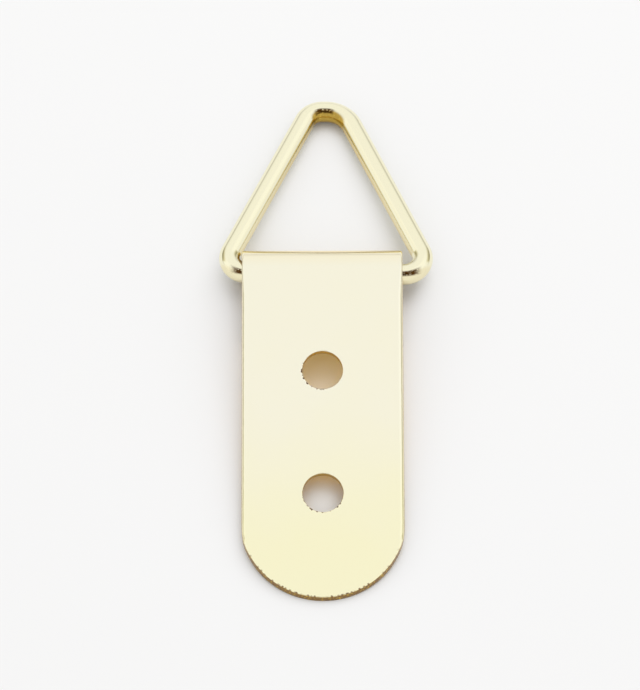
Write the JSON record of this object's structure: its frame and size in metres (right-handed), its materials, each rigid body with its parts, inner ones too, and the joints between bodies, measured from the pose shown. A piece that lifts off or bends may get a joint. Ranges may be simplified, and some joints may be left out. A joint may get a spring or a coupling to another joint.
{
  "type": "triangle-ring strap hanger",
  "caption": "Brass-plated strap hanger for a picture frame: a flat strap with screw holes and a rounded end, folded over the bar of a free-swinging triangular wire ring.",
  "frame": {"origin": "middle of the return tab's flat underside, on the surface that the hanger lies on", "axes": "+X across the strap to the right, +Y up the strap towards the ring, +Z out of the front face"},
  "size_m": [0.0214, 0.0555, 0.0048],
  "materials": {
    "strap_plating": "bright plated sheet",
    "ring_plating": "bright plated drawn wire"
  },
  "bodies": {
    "strap": {"hanger_strap": "strap_plating"},
    "ring": {"triangle_ring": "ring_plating"}
  },
  "joints": [
    {"name": "ring_swing", "type": "hinge", "parent": "strap", "child": "ring", "pos_m": [0.00036, 0.00331, 0.0025], "axis": [0.9999, -0.0157, 0], "range_deg": [-90, 120]}
  ]
}
